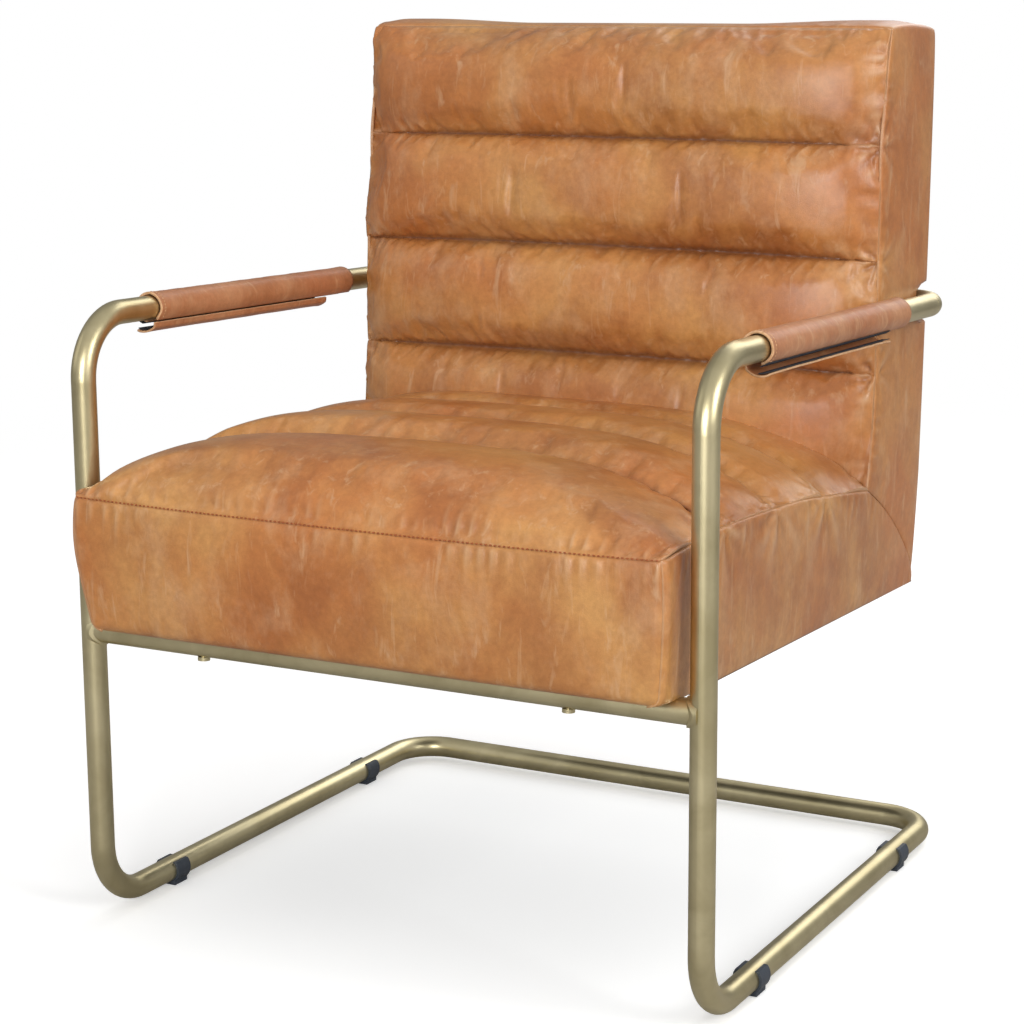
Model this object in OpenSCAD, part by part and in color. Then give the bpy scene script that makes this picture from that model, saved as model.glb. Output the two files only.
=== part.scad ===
// Upholstered armchair on a bent-tube frame: channelled seat and back in one tilted body.
// Millimetres, +Z up, front towards -Y. The origin is on the floor, below the middle of the chair.

/* [Frame tube] */

// Outside diameter of the frame tube
tube_d = 22.2; // [20:0.1:25]
// Wall thickness of the frame tube
tube_wall = 1.8; // [1.2:0.1:2.5]
// Distance between the left and right leg centre lines
frame_w = 600; // [580:5:640]
// Length of a floor runner, from leg centre line to floor bar centre line
runner_len = 576; // [570:1:600]
// Height of the arm centre line above the runner centre line, at the leg
arm_h = 544; // [530:1:560]
// Distance the top of each leg leans forward
leg_lean = 5; // [0:0.5:10]
// Drop of each arm from the leg to the back bar
arm_drop = 14.7; // [10:0.1:18]
// Distance from leg centre line to back bar centre line
back_bar_y = 566; // [562:0.5:570]
// Centre-line radius of the front bends
front_bend_r = 55; // [48:1:65]
// Centre-line radius of the rear bends
rear_bend_r = 45; // [40:1:52]
// Length of the sleeves inside the two butt joints
joint_sleeve_len = 80; // [40:5:120]
// Height of the seat rail centre line above the runner centre line
seat_rail_h = 260.6; // [255:0.1:266]

/* [Body] */

// Gap between each leg and the side of the body
side_gap = 8.9; // [8:0.1:12]
// Backward tilt of the body
tilt = 1.9; // [1:0.1:2.5]
// Distance the seat front stands ahead of the legs
seat_overhang = 40; // [34:1:50]
// Depth of the body along its base
body_depth = 605; // [602:1:607]
// Height of the side panels of the seat
seat_side_h = 122; // [115:1:130]
// Rise of the middle of the seat above its side seams
seat_crown = 64; // [40:1:68]
// Rolls sewn across the seat
seat_rolls = 4; // [3:1:5]
// Depth of the valleys between seat rolls
seat_valley = 16; // [8:1:24]
// Height of the back above the base of the body
back_h = 534; // [520:1:550]
// Thickness of the back at its side panels
back_thick = 141.5; // [138:0.5:146]
// Stand-out of the back rolls ahead of the side seams
back_crown = 32; // [20:1:36]
// Rolls sewn across the back
back_rolls = 4; // [3:1:5]
// Depth of the valleys between back rolls
back_valley = 18; // [8:1:22]
// Height of the rear groove that the back bar lies in
groove_h = 35; // [30:1:40]
// Leather thickness, lining included
leather_t = 2; // [1.5:0.1:2.5]

/* [Inner frame] */

// Thickness of the plywood side panels
ply_t = 18; // [15:1:21]
// Height of the plywood side panels along the seat
ply_seat_h = 90; // [70:1:95]
// Depth of the plywood side panels along the back
ply_back_d = 80; // [60:1:84]
// Thickness of the cross rails
rail_t = 22; // [18:1:24]
// Width of the webbing straps
strap_w = 50; // [40:5:60]

/* [Arm wraps] */

// Distance from the leg centre line to the front of an arm wrap
wrap_start = 97; // [90:1:110]
// Length of an arm wrap
wrap_len = 335; // [300:1:335]
// Thickness of an arm wrap
wrap_t = 3.4; // [2.5:0.1:3.6]
// Angle that the closing flap hangs open
flap_open = 20; // [10:1:60]

/* [Glides] */

// Length of a glide along the runner
glide_len = 20; // [16:1:24]
// Thickness of the foot under the runner
glide_foot = 3; // [2:0.5:5]
// Distance from the leg to the front glides
glide_front_y = 108; // [95:1:130]
// Distance from the leg to the rear glides
glide_rear_y = 464; // [440:1:480]

/* [Hidden] */

$fn = 96;
tube_r = tube_d / 2;
half_w = frame_w / 2;
body_half = half_w - tube_r - side_gap;
base_z = tube_r + glide_foot;
rear_y = body_depth - seat_overhang;
floor_rear = runner_len + tube_r;
y_mid = (floor_rear - seat_overhang) / 2;
arm_slope = atan(arm_drop / (back_bar_y + leg_lean));

// Body frame: base plane of the body, directly above the leg centre line.
rail_nest = tube_r - 3.8;
body_z = seat_rail_h + rail_nest;
rail_y = -leg_lean * seat_rail_h / arm_h;
rail_local_y = rail_y * cos(tilt) + rail_nest * sin(tilt);
rail_local_z = rail_y * sin(tilt) - rail_nest * cos(tilt);
bar_z = arm_h - arm_drop - body_z;
bar_local_y = back_bar_y * cos(tilt) - bar_z * sin(tilt);
bar_local_z = bar_z * cos(tilt) + back_bar_y * sin(tilt);
front_y = -seat_overhang;
back_front = rear_y - back_thick;
groove_floor = bar_local_y - tube_r - 0.9;
gap = 0.3;
inner_half = body_half - leather_t - gap;
ply_half = body_half - 6;
seat_pitch = (back_front - front_y) / seat_rolls;
back_foot = seat_side_h - 9;
back_pitch = (back_h - back_foot) / back_rolls;
post_front = rear_y - leather_t - gap - ply_back_d;
rail_half = ply_half - ply_t - gap;
front_rail_w = 52;
front_rail_y = rail_local_y - 18;
front_rail_top = 34;
bar_rail_h = 90;
bend_lap = 0.8;
bend_swell = 0.04;

// Fasteners.
bolt_d = 6;
bolt_head_d = 11;
bolt_head_h = 3.3;
nut_flange_d = 19;
nut_flange_t = 1.2;
nut_barrel_d = 7.8;
nut_barrel_l = 9;
fit = 0.05;
seat_bolt_x = 180;
back_bolt_x = 150;

// Arm wrap section, angles counted from the outboard side of the tube.
wrap_in = tube_r + 0.06;
wrap_out = wrap_in + wrap_t;
strip_t = 0.8;
flap_in = wrap_out + 2 * strip_t + 0.3;
flap_t = 1.8;
wrap_a0 = -75;
wrap_a1 = 232;
flap_a0 = 234.5;
flap_a1 = 312;
flap_len = wrap_len - 40;
flap_rear = 44;
hinge_r = wrap_out + 0.9;
fold_r = 0.55;

brass_col = [0.62, 0.55, 0.36];
leather_col = [0.76, 0.48, 0.28];
wood_col = [0.80, 0.66, 0.46];
foam_col = [0.93, 0.90, 0.80];
web_col = [0.30, 0.26, 0.22];
dark_col = [0.16, 0.18, 0.21];
zinc_col = [0.72, 0.73, 0.75];

// One node name, or all for the whole chair

function along(a, b, d) = a + (b - a) * d / norm(b - a);
function unit3(v) = v / norm(v);
function turn(a, b, c) = acos(unit3(b - a) * unit3(c - b));
function setback(a, b, c, r) = r * tan(turn(a, b, c) / 2);

// Places leg-frame shapes in the chair's frame.
module on_floor() {
  translate([0, -y_mid, base_z]) children();
}

// Places body shapes: the body sits on the seat rail and tilts back.
module on_body() {
  on_floor() translate([0, 0, body_z]) rotate([-tilt, 0, 0]) children();
}

module other_side() {
  mirror([1, 0, 0]) children();
}

// Box from its low corner to its high corner.
module block(low, high) {
  translate(low) cube(high - low);
}

// Outline in Y and Z, drawn out along X from x0 to x1.
module side_plate(x0, x1) {
  translate([x0, 0, 0])
    multmatrix([[0, 0, 1, 0], [1, 0, 0, 0], [0, 1, 0, 0]])
      linear_extrude(x1 - x0) children();
}

// Ring outline of a tube section, or a full disc when there is no wall.
module tube_section(r, wall) {
  difference() {
    circle(r = r);
    if (wall > 0) circle(r = r - wall);
  }
}

// Straight run of tube from a to b.
module run(a, b, r, wall = 0) {
  d = unit3(b - a);
  u = unit3(cross(abs(d[2]) < 0.9 ? [0, 0, 1] : [1, 0, 0], d));
  v = cross(d, u);
  multmatrix([
    [u[0], v[0], d[0], a[0]],
    [u[1], v[1], d[1], a[1]],
    [u[2], v[2], d[2], a[2]],
  ]) linear_extrude(norm(b - a)) tube_section(r, wall);
}

// Round bend at corner b between the directions a-b and b-c.
module elbow(a, b, c, bend_r, r, wall = 0) {
  d = unit3(b - a);
  e = unit3(c - b);
  angle = turn(a, b, c);
  n = unit3(e - (d * e) * d);
  centre = b - d * setback(a, b, c, bend_r) + n * bend_r;
  w = cross(-n, d);
  multmatrix([
    [-n[0], d[0], w[0], centre[0]],
    [-n[1], d[1], w[1], centre[1]],
    [-n[2], d[2], w[2], centre[2]],
  ]) rotate_extrude(angle = angle) translate([bend_r, 0]) tube_section(r, wall);
}

// Tube that follows the corner points, bent to radius radii[i] at corner i.
// Each bend is swollen a hair, inside and out, and laps the straight runs.
module bent_tube(points, radii, r, wall) {
  last = len(points) - 1;
  for (i = [0:last - 1]) {
    p = points[i];
    q = points[i + 1];
    start = i == 0 ? p : along(p, q, setback(points[i - 1], p, q, radii[i]) - bend_lap);
    end = i + 1 == last ? q : along(q, p, setback(p, q, points[i + 2], radii[i + 1]) - bend_lap);
    run(start, end, r, wall);
  }
  for (i = [1:last - 1]) {
    elbow(points[i - 1], points[i], points[i + 1], radii[i], r + bend_swell, wall + 2 * bend_swell);
  }
}

// Corner points of the right half of the frame.
half_points = [
  [0, runner_len, 0],
  [half_w, runner_len, 0],
  [half_w, 0, 0],
  [half_w, -leg_lean, arm_h],
  [half_w, back_bar_y, arm_h - arm_drop],
  [0, back_bar_y, arm_h - arm_drop],
];
half_radii = [0, rear_bend_r, front_bend_r, front_bend_r, rear_bend_r, 0];

module half_frame() {
  difference() {
    bent_tube(half_points, half_radii, tube_r, tube_wall);
    back_bolt_hole();
  }
}

module seat_bolt_hole() {
  translate([0, 0, body_z]) rotate([-tilt, 0, 0])
    translate([seat_bolt_x, rail_local_y, -40]) cylinder(d = bolt_d + 0.6, h = 80);
}

module back_bolt_hole() {
  translate([0, 0, body_z]) rotate([-tilt, 0, 0])
    translate([back_bolt_x, bar_local_y + 40, bar_local_z])
      rotate([90, 0, 0]) cylinder(d = bolt_d + 0.6, h = 80);
}

module frame_tube_right() {
  color(brass_col) on_floor() half_frame();
}

module frame_tube_left() {
  color(brass_col) on_floor() other_side() half_frame();
}

// Short tube inside a butt joint, centred on x = 0.
module joint_sleeve(y, z) {
  on_floor() translate([-joint_sleeve_len / 2, y, z]) rotate([0, 90, 0])
    difference() {
      cylinder(r = tube_r - tube_wall - fit, h = joint_sleeve_len);
      translate([0, 0, -1]) cylinder(r = tube_r - 2 * tube_wall, h = joint_sleeve_len + 2);
    }
}

module floor_bar_sleeve() {
  color(zinc_col) joint_sleeve(runner_len, 0);
}

module back_bar_sleeve() {
  color(zinc_col) joint_sleeve(back_bar_y, arm_h - arm_drop);
}

module leg_line(r) {
  run([half_w, -leg_lean * 0.3, arm_h * 0.3], [half_w, -leg_lean * 0.7, arm_h * 0.7], r);
}

// Cross tube under the front of the seat, coped to both legs.
module seat_rail() {
  color(brass_col) on_floor() difference() {
    translate([-half_w, rail_y, seat_rail_h]) rotate([0, 90, 0])
      difference() {
        cylinder(r = tube_r, h = frame_w);
        translate([0, 0, -1]) cylinder(r = tube_r - tube_wall, h = frame_w + 2);
      }
    leg_line(tube_r + fit);
    other_side() leg_line(tube_r + fit);
    seat_bolt_hole();
    other_side() seat_bolt_hole();
  }
}

// Weld bead along the line where the seat rail meets a leg.
module rail_weld() {
  difference() {
    intersection() {
      translate([half_w - 24, rail_y, seat_rail_h]) rotate([0, 90, 0]) cylinder(r = tube_r + 2, h = 23);
      leg_line(tube_r + 2.6);
    }
    leg_line(tube_r + fit);
    translate([half_w - 40, rail_y, seat_rail_h]) rotate([0, 90, 0]) cylinder(r = tube_r + fit, h = 60);
  }
}

module seat_rail_weld_right() {
  color(brass_col) on_floor() rail_weld();
}

module seat_rail_weld_left() {
  color(brass_col) on_floor() other_side() rail_weld();
}

// Snap-on saddle glide: clip round the runner with a flat foot.
module glide(y) {
  grip = tube_r + fit;
  translate([half_w, y + glide_len / 2, 0]) rotate([90, 0, 0])
    linear_extrude(glide_len) difference() {
      union() {
        circle(r = grip + 2.4);
        translate([-9, -base_z]) square([18, base_z - 6]);
      }
      circle(r = grip);
      translate([-20, grip * 0.78]) square([40, 20]);
      translate([-20, -base_z - 10]) square([40, 10]);
    }
}

module glide_front_right() {
  color(dark_col) on_floor() glide(glide_front_y);
}

module glide_front_left() {
  color(dark_col) on_floor() other_side() glide(glide_front_y);
}

module glide_rear_right() {
  color(dark_col) on_floor() glide(glide_rear_y);
}

module glide_rear_left() {
  color(dark_col) on_floor() other_side() glide(glide_rear_y);
}

// Room for the seat rail under the body.
module rail_relief(t) {
  translate([-half_w, rail_local_y, rail_local_z]) rotate([0, 90, 0])
    cylinder(r = tube_r + t, h = frame_w);
}

// Room for the back bar and its bends, grown by t.
module bar_relief(t) {
  low = bar_local_z - groove_h / 2 - t;
  high = bar_local_z + groove_h / 2 + t;
  bend_x = half_w - rear_bend_r;
  bend_y = bar_local_y - rear_bend_r;
  block([-bend_x, groove_floor - t, low], [bend_x, rear_y + 10, high]);
  for (s = [-1, 1]) {
    difference() {
      block([min(s * bend_x, s * half_w), bend_y, low], [max(s * bend_x, s * half_w), rear_y + 10, high]);
      translate([s * bend_x, bend_y, low - 1])
        cylinder(r = rear_bend_r - tube_r - 0.8 - t, h = high - low + 2);
    }
  }
}

// L-shaped side panel of the inner frame.
module ply_side() {
  low = leather_t + gap;
  difference() {
    side_plate(rail_half + gap, ply_half)
      polygon([
        [front_rail_y - 2, low],
        [rear_y - low, low],
        [rear_y - low, back_h - low - gap],
        [post_front, back_h - low - gap],
        [post_front, ply_seat_h],
        [front_rail_y - 2, ply_seat_h],
      ]);
    rail_relief(leather_t + gap);
    bar_relief(leather_t + gap);
  }
}

module ply_side_right() {
  color(wood_col) on_body() ply_side();
}

module ply_side_left() {
  color(wood_col) on_body() other_side() ply_side();
}

// Pair of upright bolt holes with nut seats in the front rail.
module seat_nut_seats() {
  for (s = [-1, 1]) {
    translate([s * seat_bolt_x, rail_local_y, -10]) cylinder(d = bolt_d + 0.6, h = 60);
    translate([s * seat_bolt_x, rail_local_y, front_rail_top - nut_barrel_l])
      cylinder(d = nut_barrel_d + 2 * fit, h = 30);
  }
}

module seat_front_rail() {
  color(wood_col) on_body() difference() {
    block([-rail_half, front_rail_y, leather_t + gap],
          [rail_half, front_rail_y + front_rail_w, front_rail_top]);
    rail_relief(leather_t + gap);
    seat_nut_seats();
  }
}

module seat_middle_rail() {
  mid = (front_rail_y + post_front) / 2;
  color(wood_col) on_body()
    block([-rail_half, mid, 10], [rail_half, mid + rail_t, ply_seat_h - 12]);
}

module seat_rear_rail() {
  color(wood_col) on_body()
    block([-rail_half, rear_y - leather_t - gap - rail_t, leather_t + gap],
          [rail_half, rear_y - leather_t - gap, ply_seat_h]);
}

module back_lower_rail() {
  color(wood_col) on_body()
    block([-rail_half, post_front, back_foot + 4], [rail_half, post_front + rail_t, back_foot + 64]);
}

// Rail that the back bar is bolted to.
module back_bar_rail() {
  front = groove_floor - leather_t - gap - rail_t;
  color(wood_col) on_body() difference() {
    block([-rail_half, front, bar_local_z - bar_rail_h / 2],
          [rail_half, front + rail_t, bar_local_z + bar_rail_h / 2]);
    bar_relief(leather_t + gap);
    for (s = [-1, 1]) {
      translate([s * back_bolt_x, front + rail_t + 5, bar_local_z]) rotate([90, 0, 0])
        cylinder(d = bolt_d + 0.6, h = rail_t + 10);
      translate([s * back_bolt_x, front + nut_barrel_l, bar_local_z]) rotate([90, 0, 0])
        cylinder(d = nut_barrel_d + 2 * fit, h = 20);
    }
  }
}

module back_top_rail() {
  top = back_h - leather_t - 2 * gap;
  color(wood_col) on_body()
    block([-rail_half, post_front, top - 60], [rail_half, post_front + rail_t, top]);
}

// Triangular block between the front rail and a side panel.
module corner_block() {
  y = front_rail_y + front_rail_w + gap;
  translate([rail_half - 0.02, y, front_rail_top - 26])
    linear_extrude(24) polygon([[0, 0], [-55, 0], [0, 55]]);
}

module corner_block_right() {
  color(wood_col) on_body() corner_block();
}

module corner_block_left() {
  color(wood_col) on_body() other_side() corner_block();
}

// Straps stretched from front to rear and from side to side.
module seat_webbing() {
  count = 5;
  span = 2 * rail_half / count;
  color(web_col) on_body() {
    for (i = [0:count - 1]) {
      x = -rail_half + span * (i + 0.5);
      block([x - strap_w / 2, front_rail_y + 4, ply_seat_h + 0.2],
            [x + strap_w / 2, post_front - 2, ply_seat_h + 1.6]);
    }
    for (i = [0:3]) {
      y = front_rail_y + 70 + i * 115;
      block([-ply_half + 1, y - strap_w / 2, ply_seat_h + 0.2],
            [ply_half - 1, y + strap_w / 2, ply_seat_h + 1.6]);
    }
  }
}

module back_webbing() {
  color(web_col) on_body() {
    for (i = [0:4]) {
      z = back_foot + 62 + i * 78;
      block([-ply_half + 1, post_front - 1.7, z - strap_w / 2],
            [ply_half - 1, post_front - 0.3, z + strap_w / 2]);
    }
    for (s = [-1, 1]) {
      block([s * 90 - strap_w / 2, post_front - 1.7, back_foot + 10],
            [s * 90 + strap_w / 2, post_front - 0.3, back_h - 12]);
    }
  }
}

// Foam on the webbing, stepped down under the back, with a strip down the front.
module seat_foam() {
  low = ply_seat_h + 1.9;
  front = front_y + leather_t + gap;
  step = back_front - back_crown - gap;
  color(foam_col) on_body() {
    block([-inner_half, front, low], [inner_half, step, seat_side_h - 2 * gap]);
    block([-inner_half, step - 1, low], [inner_half, post_front - 2.2, back_foot - gap]);
    block([-inner_half, front, leather_t + gap], [inner_half, front_rail_y - 2 - gap, low + 1]);
  }
}

module back_foam() {
  color(foam_col) on_body()
    block([-inner_half, back_front + 2 * gap, back_foot],
          [inner_half, post_front - 2, back_h - leather_t - 2 * gap]);
}

// Crowned outline across the body: flat in the middle, falling faster towards the sides.
module crown_outline(half, base, rise, power) {
  steps = 6;
  drop = [for (k = [1:steps]) pow(k / steps, 1.5)];
  polygon(concat(
    [[-half, base - 1], [half, base - 1]],
    [for (k = [steps - 1:-1:0]) [half * pow(drop[k], 1 / power), base + rise * (1 - drop[k])]],
    [for (k = [0:steps - 1]) [-half * pow(drop[k], 1 / power), base + rise * (1 - drop[k])]]
  ));
}

// Row of sewn rolls seen end on: circular humps of one pitch, cut short by t at both ends.
module roll_outline(count, pitch, top, valley, t) {
  r = (pitch * pitch / 4 + valley * valley) / (2 * valley);
  intersection() {
    translate([t, 0]) square([count * pitch - 2 * t, top + 1]);
    union() {
      translate([0, -1]) square([count * pitch, top - valley + 1]);
      for (i = [0:count - 1]) {
        intersection() {
          translate([pitch * (i + 0.5), top - r]) circle(r = r);
          translate([pitch * i, 0]) square([pitch, top + 1]);
        }
      }
    }
  }
}

// Padded top of the seat, shrunk by t on its upper side and ends.
module seat_top_shape(t) {
  intersection() {
    translate([0, back_front + 5, 0]) rotate([90, 0, 0])
      linear_extrude(back_front - front_y + 10)
        crown_outline(body_half - t, seat_side_h, seat_crown - t, 3.3);
    translate([0, front_y, seat_side_h]) side_plate(-body_half - 5, body_half + 5)
      roll_outline(seat_rolls, seat_pitch, seat_crown - t, seat_valley, t);
  }
}

// Outline of the padded back front seen from above, drawn out upwards.
module back_crown_prism(low, high, half, rise) {
  translate([0, 2 * back_front, low]) mirror([0, 1, 0])
    linear_extrude(high - low) crown_outline(half, back_front, rise, 6);
}

// Padded front of the back, shrunk by t on its outer side and ends.
module back_front_shape(t) {
  intersection() {
    back_crown_prism(back_foot - 5, back_h + 5, body_half - t, back_crown - t);
    translate([-body_half - 5, back_front, back_foot])
      multmatrix([[0, 0, 1, 0], [0, -1, 0, 0], [1, 0, 0, 0]])
        linear_extrude(2 * body_half + 10)
          roll_outline(back_rolls, back_pitch, back_crown - t, back_valley, t);
  }
}

// Room that the padded back front takes at the rear of the seat.
module back_plan(t) {
  back_crown_prism(back_foot - 1, back_foot + 200, body_half + 1, back_crown + t);
}

module seat_pad() {
  color(foam_col) on_body() difference() {
    seat_top_shape(leather_t + gap);
    back_plan(gap + leather_t);
  }
}

module seat_top_cover() {
  color(leather_col) on_body() difference() {
    seat_top_shape(0);
    seat_top_shape(leather_t);
    back_plan(gap);
  }
}

module back_pad() {
  color(foam_col) on_body() back_front_shape(leather_t + gap);
}

module back_front_cover() {
  color(leather_col) on_body() difference() {
    back_front_shape(0);
    back_front_shape(leather_t);
  }
}

// Front leather, folded under the front of the body.
module seat_front_cover() {
  color(leather_col) on_body() difference() {
    union() {
      block([-body_half, front_y, 0], [body_half, front_y + leather_t, seat_side_h - gap]);
      block([-body_half, front_y, 0], [body_half, rail_y + 22, leather_t]);
      intersection() {
        rail_relief(leather_t + 0.1);
        block([-body_half + leather_t + 0.1, rail_y - 20, 0.5], [body_half - leather_t - 0.1, rail_y + 20, 20]);
      }
    }
    rail_relief(0.1);
    seat_nut_seats();
  }
}

module seat_side_cover() {
  difference() {
    side_plate(body_half - leather_t, body_half)
      polygon([
        [front_y + leather_t + gap, leather_t + gap],
        [rail_y + 23, leather_t + gap],
        [rail_y + 23, 0],
        [rear_y, 0],
        [rear_y, 28],
        [back_front - 4, seat_side_h - 10],
        [back_front - 4, seat_side_h - gap],
        [front_y + leather_t + gap, seat_side_h - gap],
      ]);
    rail_relief(0.1);
  }
}

module seat_side_cover_right() {
  color(leather_col) on_body() seat_side_cover();
}

module seat_side_cover_left() {
  color(leather_col) on_body() other_side() seat_side_cover();
}

module back_side_cover() {
  difference() {
    side_plate(body_half - leather_t, body_half)
      polygon([
        [rear_y, 28 + gap],
        [rear_y, back_h],
        [back_front + gap, back_h],
        [back_front + gap, back_foot],
        [back_front - 3, back_foot - 1 + gap],
      ]);
    bar_relief(0);
  }
}

module back_side_cover_right() {
  color(leather_col) on_body() back_side_cover();
}

module back_side_cover_left() {
  color(leather_col) on_body() other_side() back_side_cover();
}

module back_top_cover() {
  half = body_half - leather_t - 0.1;
  color(leather_col) on_body()
    block([-half, back_front + gap, back_h - leather_t], [half, rear_y, back_h]);
}

// Rear leather, drawn into the groove behind the back bar.
module back_rear_cover() {
  half = body_half - leather_t - 0.1;
  color(leather_col) on_body() difference() {
    union() {
      block([-half, rear_y - leather_t, 0], [half, rear_y, back_h - leather_t - 0.1]);
      intersection() {
        bar_relief(leather_t);
        block([-half, bar_local_y - rear_bend_r, 200], [half, rear_y, 360]);
      }
    }
    bar_relief(0);
    for (s = [-1, 1]) {
      translate([s * back_bolt_x, rear_y, bar_local_z]) rotate([90, 0, 0])
        cylinder(d = bolt_d + 0.6, h = 60);
    }
  }
}

module dust_cover() {
  half = body_half - leather_t - 0.1;
  color(web_col) on_body()
    block([-half, rail_y + 22.2, 0.4], [half, rear_y - leather_t - 0.1, 1.2]);
}

// Round-head bolt pointing up from its head.
module bolt(length) {
  cylinder(d = bolt_d, h = length);
  translate([0, 0, -bolt_head_h]) cylinder(d = bolt_head_d, h = bolt_head_h);
}

module tee_nut() {
  difference() {
    union() {
      cylinder(d = nut_flange_d, h = nut_flange_t);
      translate([0, 0, -nut_barrel_l]) cylinder(d = nut_barrel_d, h = nut_barrel_l);
    }
    translate([0, 0, -nut_barrel_l - 1]) cylinder(d = bolt_d + 2 * fit, h = 30);
  }
}

module seat_bolt() {
  foot = rail_local_z - tube_r;
  translate([seat_bolt_x, rail_local_y, foot - 0.02]) bolt(front_rail_top + 2 - foot);
}

module seat_bolt_right() {
  color(zinc_col) on_body() seat_bolt();
}

module seat_bolt_left() {
  color(zinc_col) on_body() other_side() seat_bolt();
}

module seat_nut_right() {
  color(zinc_col) on_body() translate([seat_bolt_x, rail_local_y, front_rail_top + 0.02]) tee_nut();
}

module seat_nut_left() {
  color(zinc_col) on_body() translate([-seat_bolt_x, rail_local_y, front_rail_top + 0.02]) tee_nut();
}

module back_bolt() {
  front = groove_floor - leather_t - gap - rail_t;
  head = bar_local_y + tube_r + 0.02;
  translate([back_bolt_x, head, bar_local_z]) rotate([90, 0, 0]) bolt(head - front + 2);
}

module back_bolt_right() {
  color(zinc_col) on_body() back_bolt();
}

module back_bolt_left() {
  color(zinc_col) on_body() other_side() back_bolt();
}

module back_nut() {
  front = groove_floor - leather_t - gap - rail_t;
  translate([back_bolt_x, front - 0.02, bar_local_z]) rotate([90, 0, 0]) tee_nut();
}

module back_nut_right() {
  color(zinc_col) on_body() back_nut();
}

module back_nut_left() {
  color(zinc_col) on_body() other_side() back_nut();
}

// Works along the right arm: x outboard, y up, z forward from the rear end of the wrap.
module on_arm() {
  on_floor() translate([half_w, -leg_lean, arm_h]) rotate([-arm_slope, 0, 0])
    translate([0, leg_lean + wrap_start + wrap_len, 0]) rotate([90, 0, 0]) children();
}

// Ring sector between two radii and two angles.
module sector(r0, r1, a0, a1) {
  reach = 2 * r1;
  steps = 8;
  intersection() {
    difference() {
      circle(r = r1);
      circle(r = r0);
    }
    polygon(concat([[0, 0]], [for (i = [0:steps])
      let (a = a0 + (a1 - a0) * i / steps) [reach * cos(a), reach * sin(a)]]));
  }
}

module wrap_body() {
  linear_extrude(wrap_len) sector(wrap_in, wrap_out, wrap_a0, wrap_a1);
}

module arm_wrap_right() {
  color(leather_col) on_arm() wrap_body();
}

module arm_wrap_left() {
  color(leather_col) other_side() on_arm() wrap_body();
}

module loop_strip() {
  translate([0, 0, flap_rear]) linear_extrude(flap_len)
    sector(wrap_out + 0.02, wrap_out + strip_t, wrap_a0 + 2, wrap_a0 + 26);
}

module loop_strip_right() {
  color(dark_col) on_arm() loop_strip();
}

module loop_strip_left() {
  color(dark_col) other_side() on_arm() loop_strip();
}

// Swings the closing flap open about the lower inboard edge of the wrap.
module flap_swing() {
  pivot = [hinge_r * cos(wrap_a1 + 2), hinge_r * sin(wrap_a1 + 2)];
  translate([pivot[0], pivot[1], flap_rear]) rotate([0, 0, -flap_open])
    translate([-pivot[0], -pivot[1], 0]) children();
}

// Root of the flap: a thin web from the fold line out to the flap.
module flap_root() {
  rotate(wrap_a1 + 2) translate([hinge_r, 0]) {
    circle(r = fold_r, $fn = 32);
    translate([0, -fold_r]) square([flap_in + flap_t - hinge_r - 0.4, 2 * fold_r]);
  }
}

module flap_body() {
  flap_swing() linear_extrude(flap_len) {
    sector(flap_in, flap_in + flap_t, flap_a0, flap_a1);
    flap_root();
  }
}

module wrap_flap_right() {
  color(leather_col) on_arm() flap_body();
}

module wrap_flap_left() {
  color(leather_col) other_side() on_arm() flap_body();
}

module hook_body() {
  flap_swing() linear_extrude(flap_len)
    sector(flap_in - strip_t, flap_in - 0.02, wrap_a0 + 362, flap_a1 - 1);
}

module hook_strip_right() {
  color(dark_col) on_arm() hook_body();
}

module hook_strip_left() {
  color(dark_col) other_side() on_arm() hook_body();
}

frame_tube_right();
frame_tube_left();
floor_bar_sleeve();
back_bar_sleeve();
seat_rail();
seat_rail_weld_right();
seat_rail_weld_left();
glide_front_right();
glide_front_left();
glide_rear_right();
glide_rear_left();
ply_side_right();
ply_side_left();
seat_front_rail();
seat_middle_rail();
seat_rear_rail();
back_lower_rail();
back_bar_rail();
back_top_rail();
corner_block_right();
corner_block_left();
seat_webbing();
back_webbing();
seat_foam();
seat_pad();
back_foam();
back_pad();
seat_top_cover();
seat_front_cover();
seat_side_cover_right();
seat_side_cover_left();
back_front_cover();
back_side_cover_right();
back_side_cover_left();
back_top_cover();
back_rear_cover();
dust_cover();
seat_bolt_right();
seat_bolt_left();
seat_nut_right();
seat_nut_left();
back_bolt_right();
back_bolt_left();
back_nut_right();
back_nut_left();
arm_wrap_right();
arm_wrap_left();
loop_strip_right();
loop_strip_left();
wrap_flap_right();
wrap_flap_left();
hook_strip_right();
hook_strip_left();
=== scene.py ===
# Upholstered armchair: a leather body with sewn rolls, tilted back on a bent brass-finished tube frame.
import math
import bmesh
import bpy
from mathutils import Matrix, Vector, noise


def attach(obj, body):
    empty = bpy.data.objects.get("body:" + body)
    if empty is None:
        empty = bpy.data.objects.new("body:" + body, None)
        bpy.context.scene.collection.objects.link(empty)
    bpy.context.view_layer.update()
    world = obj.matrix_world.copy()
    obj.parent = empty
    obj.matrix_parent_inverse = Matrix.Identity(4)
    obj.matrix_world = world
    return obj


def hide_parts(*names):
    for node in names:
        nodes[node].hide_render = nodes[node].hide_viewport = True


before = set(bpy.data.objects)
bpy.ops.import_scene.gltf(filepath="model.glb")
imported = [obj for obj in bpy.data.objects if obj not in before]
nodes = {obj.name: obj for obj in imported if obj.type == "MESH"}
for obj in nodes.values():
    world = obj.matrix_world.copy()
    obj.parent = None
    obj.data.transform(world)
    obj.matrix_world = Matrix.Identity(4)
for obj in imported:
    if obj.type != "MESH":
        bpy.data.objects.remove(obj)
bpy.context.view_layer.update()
scene = bpy.context.scene
print("frame loaded")


# --- small helpers used by every piece

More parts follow.
